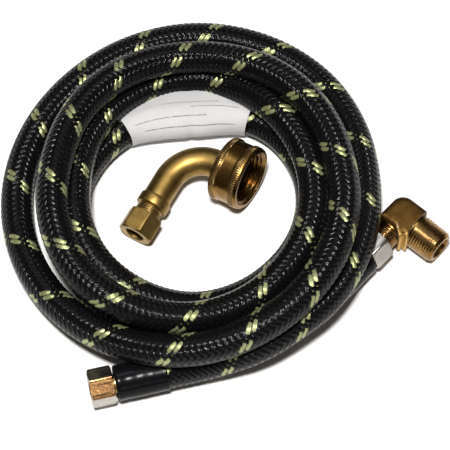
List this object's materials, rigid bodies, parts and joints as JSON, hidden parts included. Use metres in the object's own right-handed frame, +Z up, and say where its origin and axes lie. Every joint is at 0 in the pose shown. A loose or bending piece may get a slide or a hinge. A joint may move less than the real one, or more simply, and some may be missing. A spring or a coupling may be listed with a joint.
{
  "type": "appliance supply hose kit",
  "caption": "Coiled braided supply hose with captive compression nuts, a brass outlet elbow to pipe thread, a loose brass elbow with garden hose nut, and a paper label.",
  "frame": {"origin": "on the surface that the kit lies on, under the middle of its bounding box", "axes": "+Z up, +X towards the outlet elbow's side of the coil, -Y towards the bare hose nut's side"},
  "size_m": [0.2173, 0.2136, 0.044],
  "materials": {
    "braid": "black braided nylon with pale green tracer yarns",
    "shrink_sleeve": "glossy black shrink tube",
    "ferrule_steel": "pressed steel",
    "lining_rubber": "black rubber",
    "stem_brass": "turned brass",
    "seal_rubber": "black rubber",
    "nut_plated": "bright nickel plate",
    "brass_forged": "forged, matt, with bright cut threads",
    "brass_satin": "satin brass",
    "brass_turned": "turned and knurled brass",
    "label_paper": "white label paper"
  },
  "bodies": {
    "root": {"hose_coil": "braid", "hose_tail_a": "braid", "hose_tail_b": "braid", "label_wrap": "label_paper", "shrink_sleeve_a": "shrink_sleeve", "crimp_ferrule_a": "ferrule_steel", "inner_tube_a": "lining_rubber", "hose_stem_a": "stem_brass", "cone_seal_a": "seal_rubber", "shrink_sleeve_b": "shrink_sleeve", "crimp_ferrule_b": "ferrule_steel", "inner_tube_b": "lining_rubber", "hose_stem_b": "stem_brass", "cone_seal_b": "seal_rubber"},
    "swivel_nut_a": {"swivel_nut_a": "nut_plated"},
    "swivel_nut_b": {"swivel_nut_b": "nut_plated"},
    "outlet_elbow": {"outlet_elbow": "brass_forged"},
    "inlet_elbow": {"inlet_elbow": "brass_satin"},
    "garden_hose_nut": {"garden_hose_nut": "brass_turned", "hose_washer": "seal_rubber"},
    "inlet_comp_sleeve": {"inlet_comp_sleeve": "brass_turned"},
    "inlet_comp_nut": {"inlet_comp_nut": "brass_turned"}
  },
  "joints": [
    {"name": "nut_a_spin", "type": "hinge", "parent": "root", "child": "swivel_nut_a", "pos_m": [-0.05701, -0.09776, 0.0101], "axis": [-0.9724, -0.2334, 0], "continuous": true},
    {"name": "nut_b_spin", "type": "hinge", "parent": "root", "child": "swivel_nut_b", "pos_m": [0.07021, -0.02602, 0.00875], "axis": [-0.6691, -0.7431, 0], "range_deg": [0, 1800]},
    {"name": "outlet_unscrew", "type": "slide", "parent": "root", "child": "outlet_elbow", "axis": [0.6691, 0.7431, 0], "range_m": [0, 0.00529]},
    {"name": "inlet_lift", "type": "slide", "parent": "root", "child": "inlet_elbow", "axis": [0, 0, 1], "range_m": [0, 0.08]},
    {"name": "garden_nut_spin", "type": "hinge", "parent": "inlet_elbow", "child": "garden_hose_nut", "pos_m": [0.00588, 0.01108, 0.01693], "axis": [0.8529, -0.5084, 0.1184], "continuous": true},
    {"name": "inlet_nut_travel", "type": "slide", "parent": "inlet_elbow", "child": "inlet_comp_sleeve", "axis": [-0.4855, -0.8688, -0.0976], "range_m": [0, 0.0053]},
    {"name": "inlet_nut_spin", "type": "hinge", "parent": "inlet_comp_sleeve", "child": "inlet_comp_nut", "pos_m": [-0.04105, -0.01306, 0.00906], "axis": [-0.4855, -0.8688, -0.0976], "range_deg": [0, 1800]}
  ],
  "couplings": [
    {"joint": "nut_b_spin", "follows": "outlet_unscrew", "rad_per_m": 5938.7},
    {"joint": "inlet_nut_travel", "follows": "inlet_nut_spin", "m_per_rad": 0.00016839}
  ]
}
